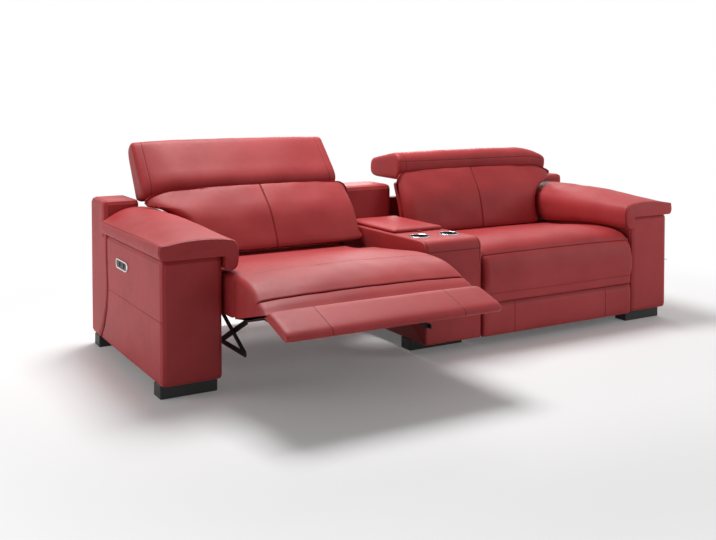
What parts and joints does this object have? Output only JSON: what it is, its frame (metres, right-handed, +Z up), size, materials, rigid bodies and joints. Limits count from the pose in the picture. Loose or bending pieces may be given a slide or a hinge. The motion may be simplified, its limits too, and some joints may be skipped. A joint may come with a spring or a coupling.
{
  "type": "home theater sofa",
  "caption": "Leather home theatre sofa: power recliner seats either side of a console with cup holders, a lidded box, legrests, reclining backs and folding headrests.",
  "frame": {"origin": "on the floor, centre of the console front foot's underside", "axes": "+X from the left arm to the right arm as seen from the front, +Y to the rear, +Z up"},
  "size_m": [2.53, 1.4512, 0.8684],
  "materials": {
    "red_leather": "semi-gloss grained leather",
    "timber": "plain sawn timber and plywood",
    "black_steel": "black powder coat",
    "chrome": "polished",
    "black_plastic": "matt moulded"
  },
  "bodies": {
    "sofa_base": {"left_arm_cover": "red_leather", "left_arm_frame": "timber", "left_arm_pad": "red_leather", "left_back_cover": "red_leather", "left_switch_plate": "chrome", "left_inner_track": "black_steel", "left_outer_track": "black_steel", "left_front_foot": "black_plastic", "left_rear_foot": "black_plastic", "cup_holder_left": "chrome", "right_arm_cover": "red_leather", "right_arm_frame": "timber", "right_arm_pad": "red_leather", "right_back_cover": "red_leather", "right_switch_plate": "chrome", "right_inner_track": "black_steel", "right_outer_track": "black_steel", "right_front_foot": "black_plastic", "right_rear_foot": "black_plastic", "cup_holder_right": "chrome", "console_shell": "red_leather", "console_deck": "red_leather", "console_back_cover": "red_leather", "storage_bin": "black_plastic", "console_front_foot": "black_plastic", "console_rear_foot": "black_plastic", "console_lid_hinge": "chrome"},
    "left_carriage": {"left_carriage_tube": "black_steel", "left_inner_side_plate": "black_steel", "left_outer_side_plate": "black_steel", "left_drive": "black_plastic"},
    "left_seat": {"left_seat_frame": "timber", "left_seat_cushion": "red_leather"},
    "left_legrest": {"left_legrest_cushion": "red_leather", "left_legrest_board": "timber", "left_inner_legrest_link": "black_steel", "left_outer_legrest_link": "black_steel"},
    "left_back": {"left_back_frame": "timber", "left_back_cushion": "red_leather"},
    "left_headrest": {"left_headrest_pad": "red_leather", "left_headrest_rod": "black_steel"},
    "left_front_switch": {"left_front_button": "black_plastic"},
    "left_rear_switch": {"left_rear_button": "black_plastic"},
    "right_carriage": {"right_carriage_tube": "black_steel", "right_inner_side_plate": "black_steel", "right_outer_side_plate": "black_steel", "right_drive": "black_plastic"},
    "right_seat": {"right_seat_frame": "timber", "right_seat_cushion": "red_leather"},
    "right_legrest": {"right_legrest_cushion": "red_leather", "right_legrest_board": "timber", "right_inner_legrest_link": "black_steel", "right_outer_legrest_link": "black_steel"},
    "right_back": {"right_back_frame": "timber", "right_back_cushion": "red_leather"},
    "right_headrest": {"right_headrest_pad": "red_leather", "right_headrest_rod": "black_steel"},
    "right_front_switch": {"right_front_button": "black_plastic"},
    "right_rear_switch": {"right_rear_button": "black_plastic"},
    "console_lid_flap": {"console_lid": "red_leather"}
  },
  "joints": [
    {"name": "left_carriage_slide", "type": "slide", "parent": "sofa_base", "child": "left_carriage", "axis": [0, -1, 0], "range_m": [-0.114, 0]},
    {"name": "left_seat_slide", "type": "slide", "parent": "left_carriage", "child": "left_seat", "axis": [0, -1, 0], "range_m": [-0.086, 0]},
    {"name": "left_legrest_hinge", "type": "hinge", "parent": "left_seat", "child": "left_legrest", "pos_m": [-0.581, -0.33, 0.375], "axis": [-1, 0, 0], "range_deg": [-74, 0]},
    {"name": "left_back_hinge", "type": "hinge", "parent": "left_carriage", "child": "left_back", "pos_m": [-0.581, 0.346, 0.33], "axis": [-1, 0, 0], "range_deg": [-15.6, 0]},
    {"name": "left_headrest_hinge", "type": "hinge", "parent": "left_back", "child": "left_headrest", "pos_m": [-0.581, 0.58069, 0.70573], "axis": [1, 0, 0], "range_deg": [-73, 0]},
    {"name": "left_front_button_slide", "type": "slide", "parent": "sofa_base", "child": "left_front_switch", "axis": [1, 0, 0], "range_m": [0, 0.0012], "stiffness_N_per_m": 400},
    {"name": "left_rear_button_slide", "type": "slide", "parent": "sofa_base", "child": "left_rear_switch", "axis": [1, 0, 0], "range_m": [0, 0.0012], "stiffness_N_per_m": 400},
    {"name": "right_carriage_slide", "type": "slide", "parent": "sofa_base", "child": "right_carriage", "axis": [0, -1, 0], "range_m": [0, 0.114]},
    {"name": "right_seat_slide", "type": "slide", "parent": "right_carriage", "child": "right_seat", "axis": [0, -1, 0], "range_m": [0, 0.086]},
    {"name": "right_legrest_hinge", "type": "hinge", "parent": "right_seat", "child": "right_legrest", "pos_m": [0.581, -0.13, 0.375], "axis": [-1, 0, 0], "range_deg": [0, 74]},
    {"name": "right_back_hinge", "type": "hinge", "parent": "right_carriage", "child": "right_back", "pos_m": [0.581, 0.46, 0.33], "axis": [-1, 0, 0], "range_deg": [0, 15.6]},
    {"name": "right_headrest_hinge", "type": "hinge", "parent": "right_back", "child": "right_headrest", "pos_m": [0.581, 0.585, 0.755], "axis": [1, 0, 0], "range_deg": [0, 73]},
    {"name": "right_front_button_slide", "type": "slide", "parent": "sofa_base", "child": "right_front_switch", "axis": [-1, 0, 0], "range_m": [0, 0.0012], "stiffness_N_per_m": 400},
    {"name": "right_rear_button_slide", "type": "slide", "parent": "sofa_base", "child": "right_rear_switch", "axis": [-1, 0, 0], "range_m": [0, 0.0012], "stiffness_N_per_m": 400},
    {"name": "console_lid_hinge_joint", "type": "hinge", "parent": "sofa_base", "child": "console_lid_flap", "pos_m": [0, 0.505, 0.4803], "axis": [-1, 0, 0], "range_deg": [0, 95]}
  ],
  "couplings": [
    {"joint": "left_seat_slide", "follows": "left_carriage_slide", "ratio": 0.75438},
    {"joint": "left_legrest_hinge", "follows": "left_carriage_slide", "rad_per_m": 11.329},
    {"joint": "left_back_hinge", "follows": "left_carriage_slide", "rad_per_m": 2.3883},
    {"joint": "right_seat_slide", "follows": "right_carriage_slide", "ratio": 0.75438},
    {"joint": "right_legrest_hinge", "follows": "right_carriage_slide", "rad_per_m": 11.329},
    {"joint": "right_back_hinge", "follows": "right_carriage_slide", "rad_per_m": 2.3883}
  ]
}
